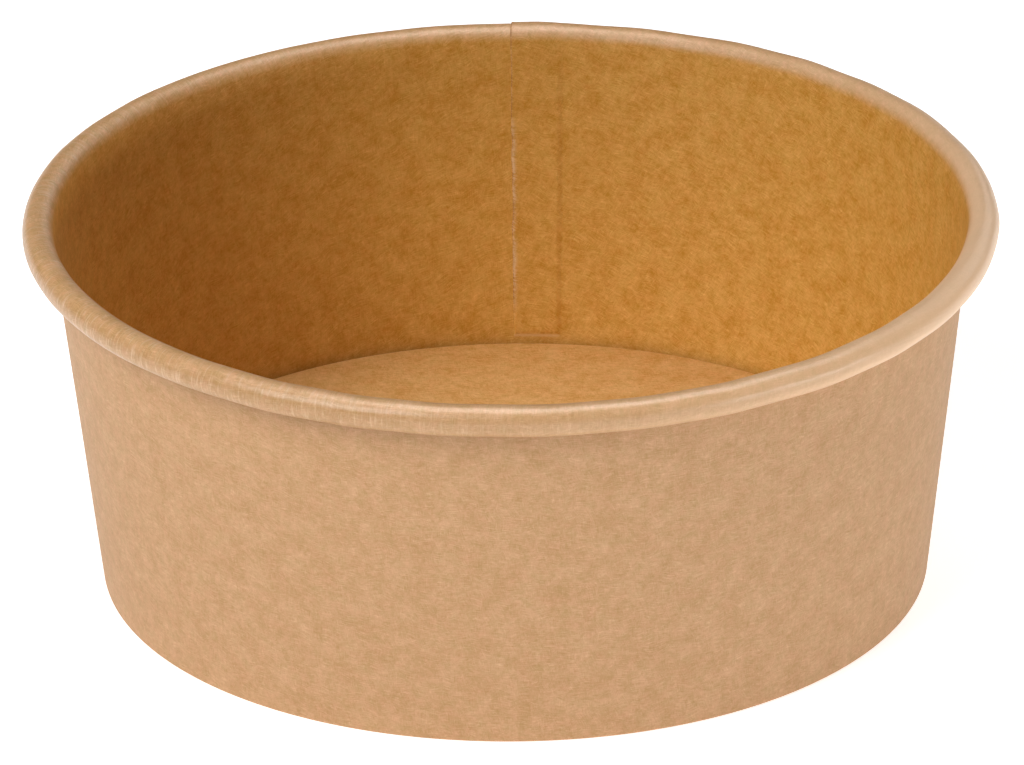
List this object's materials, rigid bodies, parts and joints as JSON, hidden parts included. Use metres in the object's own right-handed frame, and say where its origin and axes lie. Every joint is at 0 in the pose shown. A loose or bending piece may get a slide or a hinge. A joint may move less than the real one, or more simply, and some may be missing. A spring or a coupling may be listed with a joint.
{
  "type": "kraft paper salad bowl",
  "caption": "Round kraft paper food bowl: tapered wall with a rolled rim and a lapped side seam, and a recessed flat base held in the foot's turned-up hem.",
  "frame": {"origin": "centre of the foot, in the plane that the bowl stands on", "axes": "+Z is the bowl's axis and points up, out of its mouth; +Y points from the axis to the food side's edge of the side seam"},
  "size_m": [0.15, 0.1502, 0.0602],
  "materials": {
    "sidewall": "satin",
    "base": "satin"
  },
  "bodies": {
    "root": {"sidewall": "sidewall", "base": "base"}
  },
  "joints": []
}
